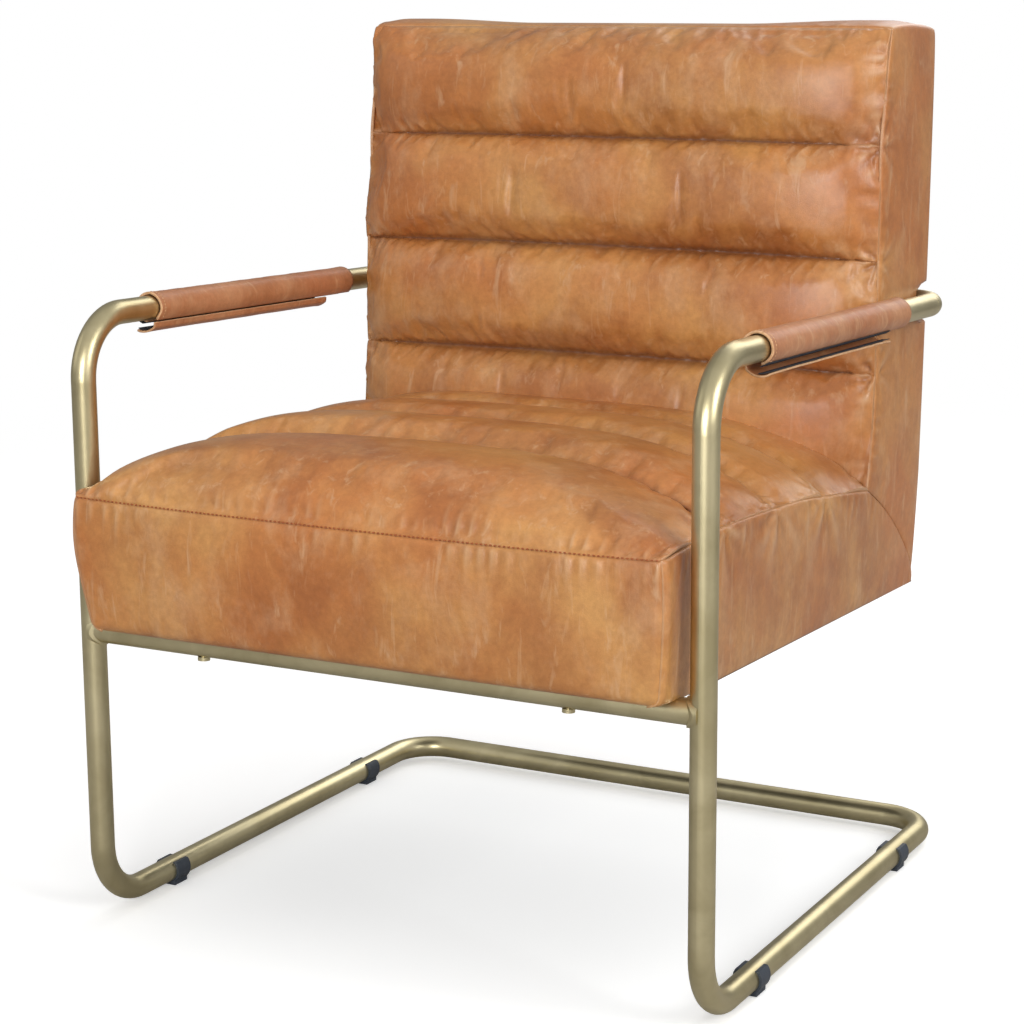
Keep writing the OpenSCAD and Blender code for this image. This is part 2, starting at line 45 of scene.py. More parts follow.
def deselectAll():
    if bpy.context.object and bpy.context.object.mode != "OBJECT":
        bpy.ops.object.mode_set(mode="OBJECT")
    bpy.ops.object.select_all(action="DESELECT")


def pick(piece):
    deselectAll()
    piece.select_set(True)
    bpy.context.view_layer.objects.active = piece


def curveThrough(points, t):  # smooth value through (position, value) points
    if t <= points[0][0]:
        return points[0][1]
    if t >= points[-1][0]:
        return points[-1][1]
    for i in range(len(points) - 1):
        if points[i][0] <= t <= points[i + 1][0]:
            break
    p1, p2 = points[i], points[i + 1]
    p0 = points[i - 1] if i > 0 else (2 * p1[0] - p2[0], 2 * p1[1] - p2[1])
    p3 = points[i + 2] if i + 2 < len(points) else (2 * p2[0] - p1[0], 2 * p2[1] - p1[1])
    span = p2[0] - p1[0]
    m1 = (p2[1] - p0[1]) / (p2[0] - p0[0]) * span
    m2 = (p3[1] - p1[1]) / (p3[0] - p1[0]) * span
    s = (t - p1[0]) / span
    return ((2 * s**3 - 3 * s**2 + 1) * p1[1] + (s**3 - 2 * s**2 + s) * m1
            + (3 * s**2 - 2 * s**3) * p2[1] + (s**3 - s**2) * m2)


def rough(x, y, z=0.0):  # repeatable soft noise from -1 to 1
    return noise.noise(Vector((x, y, z)))


def ease(t):
    t = max(0.0, min(1.0, t))
    return t * t * (3 - 2 * t)


# --- the body's own frame: millimetres, y to the rear along the seat base, z up the back

bodyPlace = {"tilt": 1.9, "behindLegs": -273.55, "aboveFloor": 282.0}
tiltCos = math.cos(math.radians(bodyPlace["tilt"]))
tiltSin = math.sin(math.radians(bodyPlace["tilt"]))


def toRow(x, y, z):
    return Vector((x, y * tiltCos + z * tiltSin + bodyPlace["behindLegs"],
                   z * tiltCos - y * tiltSin + bodyPlace["aboveFloor"])) / 1000


# --- camera, lights and floor

cameraView = {"place": (1.07995, -2.07945, 0.83935), "azimuth": 27.8332, "elevation": 11.5507,
              "roll": -0.1166, "lens": 89.70}


def setCamera():
    turn = math.radians(cameraView["azimuth"])
    lift = math.radians(cameraView["elevation"])
    roll = math.radians(cameraView["roll"])
    back = Vector((math.sin(turn) * math.cos(lift), -math.cos(turn) * math.cos(lift), math.sin(lift)))
    right = (-back).cross(Vector((0, 0, 1))).normalized()
    up = right.cross(-back)
    camX = right * math.cos(roll) + up * math.sin(roll)
    camY = up * math.cos(roll) - right * math.sin(roll)
    deselectAll()
    bpy.ops.object.camera_add(location=cameraView["place"])
    camera = bpy.context.object
    camera.name = "camera"
    camera.rotation_mode = "QUATERNION"
    camera.rotation_quaternion = Matrix((camX, camY, back)).transposed().to_quaternion()
    camera.data.lens = cameraView["lens"]
    camera.data.sensor_width = 36
    camera.data.clip_end = 50
    scene.camera = camera


lightSettings = {
    "dim": 0.26, "bright": 0.63, "brightSide": (0.55, -0.55, 0.62),  # light of the surroundings
    "lights": [  # name, place, size, watts, seen in reflections
        ("keyLight", (0.70, -3.0, 1.05), 0.9, 40, True),
        ("rightLight", (2.7, -0.7, 1.6), 1.2, 31, True),
        ("sideLight", (-2.8, -1.4, 1.7), 1.8, 6, True),
        ("overheadLight", (0.2, -0.5, 2.9), 2.4, 9, False),
        ("rearLight", (0.3, 2.6, 2.2), 2.0, 30, True),
    ],
    "aim": (0, 0, 0.45),
}

floorLook = {
    "size": 30, "colour": (0.93, 0.93, 0.925, 1), "glow": 0.34,
    "fade": (1.3, 3.0),  # metres from the chair over which the floor fades to the white backdrop
    "bounce": (0.42, 0.41, 0.40, 1),  # what the chair itself receives back from the floor
}


def setLights():
    world = bpy.data.worlds.new("studio") if scene.world is None else scene.world
    scene.world = world
    world.use_nodes = True
    tree = world.node_tree
    tree.nodes.clear()
    out = tree.nodes.new("ShaderNodeOutputWorld")
    dim = tree.nodes.new("ShaderNodeBackground")
    dim.inputs["Color"].default_value = (1, 1, 1, 1)
    ways = tree.nodes.new("ShaderNodeTexCoord")
    towards = tree.nodes.new("ShaderNodeVectorMath")
    towards.operation = "DOT_PRODUCT"
    towards.inputs[1].default_value = Vector(lightSettings["brightSide"]).normalized()
    tree.links.new(ways.outputs["Generated"], towards.inputs[0])
    level = tree.nodes.new("ShaderNodeMapRange")
    level.interpolation_type = "SMOOTHSTEP"
    level.inputs["From Min"].default_value = -0.5
    level.inputs["To Min"].default_value = lightSettings["dim"]
    level.inputs["To Max"].default_value = lightSettings["bright"]
    tree.links.new(towards.outputs["Value"], level.inputs["Value"])
    tree.links.new(level.outputs[0], dim.inputs["Strength"])
    seen = tree.nodes.new("ShaderNodeBackground")
    seen.inputs["Color"].default_value = (1, 1, 1, 1)
    seen.inputs["Strength"].default_value = 1.0
    path = tree.nodes.new("ShaderNodeLightPath")
    mix = tree.nodes.new("ShaderNodeMixShader")
    tree.links.new(path.outputs["Is Camera Ray"], mix.inputs[0])
    tree.links.new(dim.outputs[0], mix.inputs[1])
    tree.links.new(seen.outputs[0], mix.inputs[2])
    tree.links.new(mix.outputs[0], out.inputs["Surface"])
    for name, place, size, watts, mirrored in lightSettings["lights"]:
        deselectAll()
        bpy.ops.object.light_add(type="AREA", location=place)
        lamp = bpy.context.object
        lamp.name = name
        lamp.data.shape = "SQUARE"
        lamp.data.size = size
        lamp.data.energy = watts
        lamp.visible_glossy = mirrored
        aim = Vector(lightSettings["aim"]) - Vector(place)
        lamp.rotation_mode = "QUATERNION"
        lamp.rotation_quaternion = aim.to_track_quat("-Z", "Y")
    scene.view_settings.view_transform = "Standard"


def setFloor():
    deselectAll()
    bpy.ops.mesh.primitive_plane_add(size=floorLook["size"], location=(0, 0, -0.0005))
    floor = bpy.context.object
    floor.name = "floor"
    mat = bpy.data.materials.new("paleFloor")
    mat.use_nodes = True
    tree = mat.node_tree
    shader = tree.nodes["Principled BSDF"]
    shader.inputs["Base Color"].default_value = floorLook["colour"]
    shader.inputs["Roughness"].default_value = 0.9
    shader.inputs["Specular IOR Level"].default_value = 0.1
    shader.inputs["Emission Color"].default_value = (1, 1, 1, 1)
    shader.inputs["Emission Strength"].default_value = floorLook["glow"]
    away = tree.nodes.new("ShaderNodeVectorMath")
    away.operation = "LENGTH"
    coords = tree.nodes.new("ShaderNodeTexCoord")
    tree.links.new(coords.outputs["Object"], away.inputs[0])
    fade = tree.nodes.new("ShaderNodeMapRange")
    fade.interpolation_type = "SMOOTHSTEP"
    fade.inputs["From Min"].default_value = floorLook["fade"][0]
    fade.inputs["From Max"].default_value = floorLook["fade"][1]
    tree.links.new(away.outputs["Value"], fade.inputs["Value"])
    glow = tree.nodes.new("ShaderNodeEmission")
    mix = tree.nodes.new("ShaderNodeMixShader")
    tree.links.new(fade.outputs[0], mix.inputs[0])
    tree.links.new(shader.outputs[0], mix.inputs[1])
    tree.links.new(glow.outputs[0], mix.inputs[2])
    bounce = tree.nodes.new("ShaderNodeBsdfDiffuse")
    bounce.inputs["Color"].default_value = floorLook["bounce"]
    path = tree.nodes.new("ShaderNodeLightPath")
    choose = tree.nodes.new("ShaderNodeMixShader")
    tree.links.new(path.outputs["Is Camera Ray"], choose.inputs[0])
    tree.links.new(bounce.outputs[0], choose.inputs[1])
    tree.links.new(mix.outputs[0], choose.inputs[2])
    tree.links.new(choose.outputs[0], tree.nodes["Material Output"].inputs["Surface"])
    floor.data.materials.append(mat)


setCamera()
setLights()
setFloor()
print("camera, lights and floor set")


# --- materials

def newMaterial(name):
    mat = bpy.data.materials.new(name)
    mat.use_nodes = True
    tree = mat.node_tree
    shader = tree.nodes["Principled BSDF"]
    return mat, tree, shader


def addNode(tree, kind, **settings):
    node = tree.nodes.new(kind)
    for key, value in settings.items():
        if key in node.inputs:
            node.inputs[key].default_value = value
        else:
            setattr(node, key, value)
    return node


def noiseAt(tree, coords, scale, detail=3.0, roughness=0.5, distortion=0.0, stretch=(1, 1, 1)):
    mapping = addNode(tree, "ShaderNodeMapping")
    mapping.inputs["Scale"].default_value = stretch
    tree.links.new(coords, mapping.inputs["Vector"])
    tex = addNode(tree, "ShaderNodeTexNoise")
    tex.inputs["Scale"].default_value = scale
    tex.inputs["Detail"].default_value = detail
    tex.inputs["Roughness"].default_value = roughness
    tex.inputs["Distortion"].default_value = distortion
    tree.links.new(mapping.outputs[0], tex.inputs["Vector"])
    return tex.outputs["Fac"]


def rampOf(tree, value, stops):
    ramp = addNode(tree, "ShaderNodeValToRGB")
    elements = ramp.color_ramp.elements
    while len(elements) < len(stops):
        elements.new(0.5)
    for element, (place, colour) in zip(elements, stops):
        element.position = place
        element.color = (*colour, 1) if len(colour) == 3 else colour
    tree.links.new(value, ramp.inputs["Fac"])
    return ramp.outputs["Color"]


def mixColour(tree, fac, a, b, kind="MIX"):
    mix = addNode(tree, "ShaderNodeMix", data_type="RGBA", blend_type=kind)
    for socket, value in ((mix.inputs["Factor"], fac), (mix.inputs[6], a), (mix.inputs[7], b)):
        if isinstance(value, bpy.types.NodeSocket):
            tree.links.new(value, socket)
        else:
            socket.default_value = value
    return mix.outputs[2]


def bumpFrom(tree, height, strength, distance, onto=None):
    bump = addNode(tree, "ShaderNodeBump")
    bump.inputs["Strength"].default_value = strength
    bump.inputs["Distance"].default_value = distance
    tree.links.new(height, bump.inputs["Height"])
    if onto is not None:
        tree.links.new(onto, bump.inputs["Normal"])
    return bump.outputs["Normal"]


def spreadRoughness(tree, shader, value, low, high):  # roughness that follows a pattern
    roughMap = addNode(tree, "ShaderNodeMapRange")
    roughMap.inputs["To Min"].default_value = low
    roughMap.inputs["To Max"].default_value = high
    tree.links.new(value, roughMap.inputs["Value"])
    tree.links.new(roughMap.outputs[0], shader.inputs["Roughness"])


leatherLook = {
    "mid": (0.490, 0.172, 0.043),
    "light": (0.580, 0.285, 0.088),
    "dark": (0.300, 0.090, 0.021),
    # a pale tone for random patches and scuffs, also mixed in as painted highlight on pucker ridges
    "paleAndSheen": (0.630, 0.390, 0.215),
    "foldDepth": (0.50, 0.42, 0.40),  # share of the dark tone used as painted shade in valleys and creases
    "roughness": (0.31, 0.46),
    "grain": 620,
    "coat": 0.22,
    "coatRoughness": 0.30,
}


def makeLeather(name, look):
    mat, tree, shader = newMaterial(name)
    coords = addNode(tree, "ShaderNodeTexCoord").outputs["Object"]
    cloudy = noiseAt(tree, coords, 6.5, 4, 0.55, 0.25)
    base = rampOf(tree, cloudy, [(0.36, look["mid"]), (0.66, look["light"])])
    darker = noiseAt(tree, coords, 10.5, 5, 0.62, 0.3, (1.2, 1.2, 1.0))
    darkMask = rampOf(tree, darker, [(0.44, (0, 0, 0)), (0.68, (0.62, 0.62, 0.62))])
    base = mixColour(tree, darkMask, base, (*look["dark"], 1))
    paler = noiseAt(tree, coords, 27, 5, 0.66, 0.3, (1.0, 1.0, 0.6))
    palerMask = rampOf(tree, paler, [(0.50, (0, 0, 0)), (0.72, (0.34, 0.34, 0.34))])
    base = mixColour(tree, palerMask, base, (*look["paleAndSheen"], 1))
    freckle = noiseAt(tree, coords, 150, 4, 0.7)
    freckleTint = rampOf(tree, freckle, [(0.35, (0.90, 0.89, 0.88)), (0.65, (1.06, 1.075, 1.09))])
    base = mixColour(tree, 1.0, base, freckleTint, "MULTIPLY")
    scuffs = noiseAt(tree, coords, 60, 3, 0.7, 0.6, (1.4, 1.4, 0.28))
    scuffMask = rampOf(tree, scuffs, [(0.57, (0, 0, 0)), (0.72, (0.46, 0.46, 0.46))])
    base = mixColour(tree, scuffMask, base, (*look["paleAndSheen"], 1))
    # painted shade: darkens the sewn valleys, the pucker creases and the seat's last row under the back
    fold = addNode(tree, "ShaderNodeAttribute", attribute_name="fold").outputs["Fac"]
    foldTone = [tone * left for tone, left in zip(look["dark"], look["foldDepth"])]
    base = mixColour(tree, fold, base, (*foldTone, 1))
    # painted highlight on pucker ridges, and a paler line along the panel edges
    paleEdgeAndHighlight = addNode(tree, "ShaderNodeAttribute", attribute_name="paleEdgeAndHighlight").outputs["Fac"]
    base = mixColour(tree, paleEdgeAndHighlight, base, (*look["paleAndSheen"], 1))
    tree.links.new(base, shader.inputs["Base Color"])
    spreadRoughness(tree, shader, paler, *look["roughness"])
    grain = addNode(tree, "ShaderNodeTexVoronoi", feature="DISTANCE_TO_EDGE")
    grain.inputs["Scale"].default_value = look["grain"]
    tree.links.new(coords, grain.inputs["Vector"])
    grainHeight = rampOf(tree, grain.outputs["Distance"], [(0.0, (0, 0, 0)), (0.18, (1, 1, 1))])
    creases = noiseAt(tree, coords, 38, 4, 0.6, 0.8, (1.0, 1.0, 0.8))
    normal = bumpFrom(tree, creases, 0.22, 0.0020)
    normal = bumpFrom(tree, grainHeight, 0.14, 0.0004, normal)
    tree.links.new(normal, shader.inputs["Normal"])
    shader.inputs["Specular IOR Level"].default_value = 0.5
    shader.inputs["Coat Weight"].default_value = look["coat"]
    shader.inputs["Coat Roughness"].default_value = look["coatRoughness"]
    return mat


brassLook = {"colour": (0.700, 0.615, 0.380), "deep": (0.560, 0.480, 0.275), "roughness": (0.31, 0.43)}


def makeBrass():
    mat, tree, shader = newMaterial("brassFinish")
    coords = addNode(tree, "ShaderNodeTexCoord").outputs["Object"]
    patches = noiseAt(tree, coords, 14, 4, 0.6, 0.5)
    base = rampOf(tree, patches, [(0.35, brassLook["deep"]), (0.62, brassLook["colour"])])
    tree.links.new(base, shader.inputs["Base Color"])
    fine = noiseAt(tree, coords, 900, 2, 0.5)
    spreadRoughness(tree, shader, patches, *brassLook["roughness"])
    tree.links.new(bumpFrom(tree, fine, 0.10, 0.0002), shader.inputs["Normal"])
    shader.inputs["Metallic"].default_value = 1.0
    return mat


def makePlain(name, colour, variant, roughness, scale, bumpStrength, bumpDistance,
              metallic=0.0, stretch=(1, 1, 1)):
    mat, tree, shader = newMaterial(name)
    coords = addNode(tree, "ShaderNodeTexCoord").outputs["Object"]
    grainValue = noiseAt(tree, coords, scale, 4, 0.6, 0.4, stretch)
    tree.links.new(rampOf(tree, grainValue, [(0.35, colour), (0.65, variant)]), shader.inputs["Base Color"])
    spreadRoughness(tree, shader, grainValue, max(0.05, roughness - 0.08), min(1.0, roughness + 0.08))
    fine = noiseAt(tree, coords, scale * 8, 2, 0.5, 0.0, stretch)
    tree.links.new(bumpFrom(tree, fine, bumpStrength, bumpDistance), shader.inputs["Normal"])
    shader.inputs["Metallic"].default_value = metallic
    return mat


leather = makeLeather("saddleLeather", leatherLook)
wrapLook = dict(leatherLook, mid=(0.450, 0.165, 0.065), light=(0.520, 0.240, 0.110),
                roughness=(0.52, 0.68), grain=744)
wrapLeather = makeLeather("wrapLeather", wrapLook)
brass = makeBrass()
rawEdge = makePlain("rawLeatherEdge", (0.700, 0.430, 0.240), (0.560, 0.310, 0.150), 0.8, 300, 0.5, 0.0004)
thread = makePlain("rustThread", (0.400, 0.110, 0.030), (0.280, 0.070, 0.020), 0.7, 900, 0.4, 0.0003)
plastic = makePlain("slatePlastic", (0.035, 0.045, 0.060), (0.050, 0.060, 0.078), 0.45, 240, 0.25, 0.0003)
stripCloth = makePlain("hookAndLoop", (0.020, 0.020, 0.026), (0.045, 0.045, 0.055), 0.85, 500, 0.8, 0.0006)
zinc = makePlain("zincPlate", (0.560, 0.570, 0.590), (0.480, 0.485, 0.500), 0.38, 160, 0.2, 0.0002, 0.9)
plywood = makePlain("plywood", (0.560, 0.390, 0.220), (0.440, 0.290, 0.150), 0.75, 40, 0.4, 0.0006,
                    stretch=(1, 6, 1))
hardwood = makePlain("beech", (0.520, 0.330, 0.170), (0.420, 0.250, 0.120), 0.7, 30, 0.4, 0.0005,
                     stretch=(0.3, 6, 6))
webbing = makePlain("juteWebbing", (0.090, 0.070, 0.045), (0.055, 0.042, 0.028), 0.9, 700, 0.8, 0.0006)
dustCloth = makePlain("dustCloth", (0.020, 0.020, 0.021), (0.036, 0.036, 0.038), 0.95, 800, 0.7, 0.0004)
print("materials made")


# --- carried-over frame parts

def finishNodes(names, mat):
    for name in names:
        part = nodes[name]
        part.data.materials.clear()
        part.data.materials.append(mat)


finishNodes(["frame_tube_right", "frame_tube_left", "seat_rail", "seat_rail_weld_right",
             "seat_rail_weld_left"], brass)
finishNodes(["seat_bolt_right", "seat_bolt_left", "back_bolt_right", "back_bolt_left"], brass)
finishNodes(["floor_bar_sleeve", "back_bar_sleeve", "seat_nut_right", "seat_nut_left", "back_nut_right",
             "back_nut_left"], zinc)
finishNodes(["glide_front_right", "glide_front_left", "glide_rear_right", "glide_rear_left"], plastic)
finishNodes(["ply_side_right", "ply_side_left"], plywood)
finishNodes(["seat_front_rail", "seat_middle_rail", "seat_rear_rail", "back_lower_rail", "back_bar_rail",
             "back_top_rail", "corner_block_right", "corner_block_left"], hardwood)
finishNodes(["seat_webbing", "back_webbing"], webbing)
finishNodes(["dust_cover"], dustCloth)
finishNodes(["loop_strip_right", "loop_strip_left", "hook_strip_right", "hook_strip_left"], stripCloth)
print("frame parts finished")


# --- leather panels, drawn in the body's own millimetres

bodyShape = {
    "half": 280.0, "rearY": 565.0, "frontCorner": 9.0, "rearCorner": 8.0,
    "lowTaper": 2.5, "taperHeight": 110.0,
    "meetY": 419.0, "meetZ": 112.0,  # where the seat's side seam runs into the back's
    "frontFlare": {1: 1.0, -1: 10.0}, "cornerSwell": {1: 2.0, -1: 5.0},  # 1 is the right side, -1 the left
    "flareFrom": -8.0, "flareOver": 30.0,
    "backNarrow": {1: 0.0, -1: 9.0},
}
seatShape = {
    "seamHeight": 120.0,
    "seamFront": -45.0,
    "lowFront": -38.0,
    "sideSeam": [(-45, 121), (0, 125), (60, 130), (110, 131), (190, 129.5), (245, 128), (330, 121),
                 (419, 112)],
    "crest": [(-45, 142), (66, 172), (177, 179), (287, 177.5), (390, 174.5), (430, 171)],
    "crownPower": {1: 3.2, -1: 6.0},
    "valleySides": [-45.0, 70.0, 185.0, 300.0, 421.0],
    "valleyMiddle": [-45.0, 121.0, 232.0, 342.0, 430.0],
    "valleyDepth": 19.0,
    "rows": [44, 28, 28, 26],
    "columns": 216,
}
backShape = {
    "seam": [(112, 419), (168, 426), (219, 428), (262, 427), (325, 425), (382, 423), (431, 421), (473, 427),
             (509, 432), (538, 440)],
    "valleySides": [112.0, 219.0, 325.0, 431.0, 537.0],
    "valleyMiddle": [112.0, 223.0, 329.0, 433.0, 538.0],
    "valleyForward": 7.0,
    "rollForward": 25.0,
    "topFront": 440.0,
    "topEdge": 538.0,
    "topHeight": 537.7,
    "rows": [26, 28, 28, 32],
    "columns": 216,
}
panelShape = {"thick": 3.0, "frontBulge": 7.0, "sideBulge": 4.5, "rearBulge": 3.0, "topBulge": 9.5,
              "topTurn": 10.0, "rimWidth": 6.0, "rimDrop": 1.2}
puckerShape = {"seam": 2.9, "valleyEnd": 2.3}


def seatSideSeam(y):
    return curveThrough(seatShape["sideSeam"], y)


def backSideSeam(z):
    return curveThrough(backShape["seam"], z)


def bodyHalf(z):
    return bodyShape["half"] - bodyShape["lowTaper"] * max(0.0, 1 - z / bodyShape["taperHeight"])


def seatFrontY(z):
    t = max(0.0, min(1.0, z / seatShape["seamHeight"]))
    return seatShape["lowFront"] + (seatShape["seamFront"] - seatShape["lowFront"]) * t


def roundCorner(x, y, z, cornerY, radius, ahead):  # rounds an upright corner of the body in plan
    cx = bodyHalf(z) - radius
    cy = cornerY - ahead * radius
    dx = abs(x) - cx
    dy = (y - cy) * ahead
    if dx > 0 and dy > 0:
        reach = max(dx, dy)
        length = math.hypot(dx, dy)
        x = math.copysign(cx + dx / length * reach, x)
        y = cy + ahead * dy / length * reach
    return x, y


def flare(x, y, z):  # the seat spreads a little towards its front corners
    s = bodyShape
    side = 1 if x > 0 else -1
    near = ease((s["flareFrom"] - y) / s["flareOver"])
    level = max(0.0, min(1.0, z / seatShape["seamHeight"]))
    out = s["frontFlare"][side] * ease(level / 0.75)
    out += s["cornerSwell"][side] * (4 * level * (1 - level))**0.8
    return x * (1 + out * near / s["half"])


def softPlan(x, y, z):
    x, y = roundCorner(x, y, z, seatFrontY(z), bodyShape["frontCorner"], -1)
    x, y = roundCorner(x, y, z, bodyShape["rearY"], bodyShape["rearCorner"], 1)
    if z < 200:
        x = flare(x, y, z)
    return x, y, z


def lowEdge(z, radius):  # how far a panel is drawn in where it turns under the seat
    if z >= radius:
        return 0.0
    return radius - math.sqrt(max(0.0, radius**2 - (radius - z)**2))


def clustered(t):  # closer rows near both ends
    return 0.5 * t + 0.5 * (0.5 - 0.5 * math.cos(math.pi * t))


def rimFall(distance):
    width, drop = panelShape["rimWidth"], panelShape["rimDrop"]
    if distance >= width:
        return 0.0
    return drop * (1 - math.sqrt(max(0.0, 1 - (1 - distance / width)**2)))


def seamPucker(along, away, seed, pitch=17.0, reach=20.0):  # short gathers running away from a seam
    phase = 2 * math.pi * along / pitch
    phase += 3.0 * rough(along / 55, seed) + 1.3 * rough(away / 30, along / 40, seed)
    ridge = (0.5 + 0.5 * math.sin(phase))**3.5
    weight = max(0.0, 0.35 + 0.9 * rough(along / 38, seed + 7.7))
    length = reach * (0.8 + 0.7 * rough(along / 21, seed + 3.1))
    fall = math.exp(-(away / max(6.0, length))**2) * (1 - math.exp(-away / 2.5))
    return puckerShape["seam"] * (ridge - 0.25) * weight * fall


def endPucker(du, dv, seed, reach=30.0):  # creases fanning from the end of a sewn valley
    r = math.hypot(du, dv)
    if r > 4 * reach:
        return 0.0
    angle = math.atan2(dv, du)
    ridge = math.sin(7 * angle + 2 * seed + 1.2 * rough(r / 22, seed)) * math.sin(3.1 * angle + seed)
    return puckerShape["valleyEnd"] * ridge * math.exp(-r / reach) * ease(r / 9)


def puckerLightAndShade(up):  # painted highlight on a pucker's ridge and painted shade in its crease
    return min(0.55, 0.42 * max(0.0, up - 0.15)), min(0.35, 0.30 * max(0.0, -up - 0.12))


def rowInRolls(t, rows):  # which roll a row is in, and how far through it
    at = t * sum(rows)
    for roll, count in enumerate(rows):
        if at <= count + 1e-6 or roll == len(rows) - 1:
            return roll, min(1.0, at / count)
        at -= count


def seatValley(index, spread):
    bow = 1 - spread**2.4
    s = seatShape
    return s["valleySides"][index] + (s["valleyMiddle"][index] - s["valleySides"][index]) * bow


def seatTopPoint(u, t):
    s = seatShape
    f = clustered(u) * 2 - 1
    spread = abs(f)
    bow = 1 - spread**2.4
    roll, tau = rowInRolls(t, s["rows"])
    y0, y1 = seatValley(roll, spread), seatValley(roll + 1, spread)
    crestCrown = 1 - spread**s["crownPower"][1 if f > 0 else -1]
    valleyCrown = 1 - spread**2.9

    def crestAt(y):
        seam = seatSideSeam(y)
        return seam + (curveThrough(s["crest"], y) - seam) * crestCrown

    def valleyAt(y, deeper=0.0):
        low = seatSideSeam(y) - 3.0 * spread**10
        return low + (curveThrough(s["crest"], y) - s["valleyDepth"] - deeper - low) * valleyCrown

    if roll == 0:
        crestY = y0 + 0.64 * (y1 - y0)
        frontZ = s["seamHeight"] + 1.0 * spread**4 - 1.5 * bow
        if tau <= 0.62:
            angle = math.pi / 2 * tau / 0.62
            y = y0 + (crestY - y0) * (1 - math.cos(angle)**0.92) - 5.0 * math.sin(2 * angle) * crestCrown
            z = frontZ + (crestAt(crestY) - frontZ) * math.sin(angle)**0.88
        else:
            angle = math.pi / 2 * (1 + (tau - 0.62) / 0.38)
            y = crestY - (y1 - crestY) * math.cos(angle)
            low = valleyAt(y1)
            z = low + (crestAt(crestY) - low) * max(0.0, math.sin(angle))**0.66
    else:
        angle = math.pi * tau
        middle = y0 + 0.5 * (y1 - y0)
        y = middle - (y1 - y0) / 2 * math.cos(angle)
        low = valleyAt(y0) * (1 - tau) + valleyAt(y1, 8 * bow if roll == 3 else 0.0) * tau
        crestZ = crestAt(middle)
        z = low + max(0.0, crestZ - low) * max(0.0, math.sin(angle))**0.62
    return softPlan(f * bodyShape["half"], y, z)


def backValley(index, spread):
    s = backShape
    return s["valleySides"][index] + (s["valleyMiddle"][index] - s["valleySides"][index]) * (1 - spread**3)


def backWidth(x, y, z):  # the back's left front edge stands a little further in than its rear
    side = 1 if x > 0 else -1
    inset = bodyShape["backNarrow"][side]
    if side < 0:
        inset += 5.5 * ease((z - 340) / 60) - 2.5 * ease((z - 500) / 30)
    inset *= ease((z - bodyShape["meetZ"]) / 45)
    return x * (1 - inset * ease((485 - y) / 50) / bodyShape["half"])


def backFrontPoint(u, t):
    s = backShape
    f = clustered(u) * 2 - 1
    spread = abs(f)
    roll, tau = rowInRolls(t, s["rows"])
    z0, z1 = backValley(roll, spread), backValley(roll + 1, spread)
    valleyCrown = 1 - spread**5
    crestCrown = max(0.0, 1 - spread**5)**0.9
    angle = math.pi * tau

    def valleyAt(z, index):
        forward = 0.0 if index in (0, 4) else s["valleyForward"]
        return backSideSeam(z) - forward * valleyCrown + (2.5 * spread**12 if index in (1, 2, 3) else 0.0)

    if roll == 3:
        crestZ = z0 + 0.50 * (z1 - z0)
        crestY = backSideSeam(crestZ) - (s["valleyForward"] + s["rollForward"] + 2) * crestCrown
        if tau <= 0.45:
            angle = math.pi / 2 * tau / 0.45
            z = z0 + (crestZ - z0) * (1 - math.cos(angle))
            y = valleyAt(z0, 3) + (crestY - valleyAt(z0, 3)) * math.sin(angle)**0.66
        else:
            angle = math.pi / 2 * (tau - 0.45) / 0.55
            z = crestZ + (z1 - crestZ) * math.sin(angle)**0.95
            y = backSideSeam(z1) + (crestY - backSideSeam(z1)) * math.cos(angle)**0.85
    else:
        middle = (z0 + z1) / 2
        z = middle - (z1 - z0) / 2 * math.cos(angle)
        crestY = backSideSeam(middle) - (s["valleyForward"] + s["rollForward"]) * crestCrown
        low = valleyAt(z0, roll) * (1 - tau) + valleyAt(z1, roll + 1) * tau
        y = low + min(0.0, crestY - low) * max(0.0, math.sin(angle))**0.62
    return backWidth(f * bodyShape["half"], y, z), y, z


def turnOver(piece):
    pick(piece)
    bpy.ops.object.mode_set(mode="EDIT")
    bpy.ops.mesh.select_all(action="SELECT")
    bpy.ops.mesh.flip_normals()
    bpy.ops.object.mode_set(mode="OBJECT")


def gridPiece(name, columns, rows, place, flip=False):
    deselectAll()
    bpy.ops.mesh.primitive_grid_add(x_subdivisions=columns, y_subdivisions=rows, size=2)
    piece = bpy.context.object
    piece.name = name
    piece.data.name = name
    spots = []
    for vert in piece.data.vertices:
        u, t = (vert.co.x + 1) / 2, (vert.co.y + 1) / 2
        local = place(u, t)
        spots.append((u, t, local))
        vert.co = toRow(*local)
    piece.data.materials.append(leather)
    if flip:
        turnOver(piece)
    piece.data.update()
    return piece, spots


def raiseAlong(piece, heights):  # moves each point along its own normal, in millimetres
    normals = [vert.normal.copy() for vert in piece.data.vertices]
    for vert, normal, height in zip(piece.data.vertices, normals, heights):
        vert.co += normal * height / 1000
    piece.data.update()


def addShade(piece, name, values):
    layer = piece.data.attributes.new(name, "FLOAT", "POINT")
    for item, value in zip(layer.data, values):
        item.value = max(0.0, min(1.0, value))


def faceOutwards(piece):
    pick(piece)
    bpy.ops.object.mode_set(mode="EDIT")
    bpy.ops.mesh.select_all(action="SELECT")
    bpy.ops.mesh.normals_make_consistent(inside=False)
    bpy.ops.object.mode_set(mode="OBJECT")
    bpy.ops.object.shade_smooth()


def closeBehind(piece, push, step=0.985):  # carries the open edge back into the body and closes it
    pick(piece)
    bpy.ops.object.mode_set(mode="EDIT")
    bpy.ops.mesh.select_mode(type="EDGE")
    bpy.ops.mesh.select_all(action="DESELECT")
    bpy.ops.mesh.select_non_manifold(extend=False)
    for part in (0.4, 0.6):
        bpy.ops.mesh.extrude_edges_move(TRANSFORM_OT_translate={"value": push * part})
        bpy.ops.transform.resize(value=(step, step, step))
    bpy.ops.mesh.edge_face_add()
    bpy.ops.object.mode_set(mode="OBJECT")
    faceOutwards(piece)


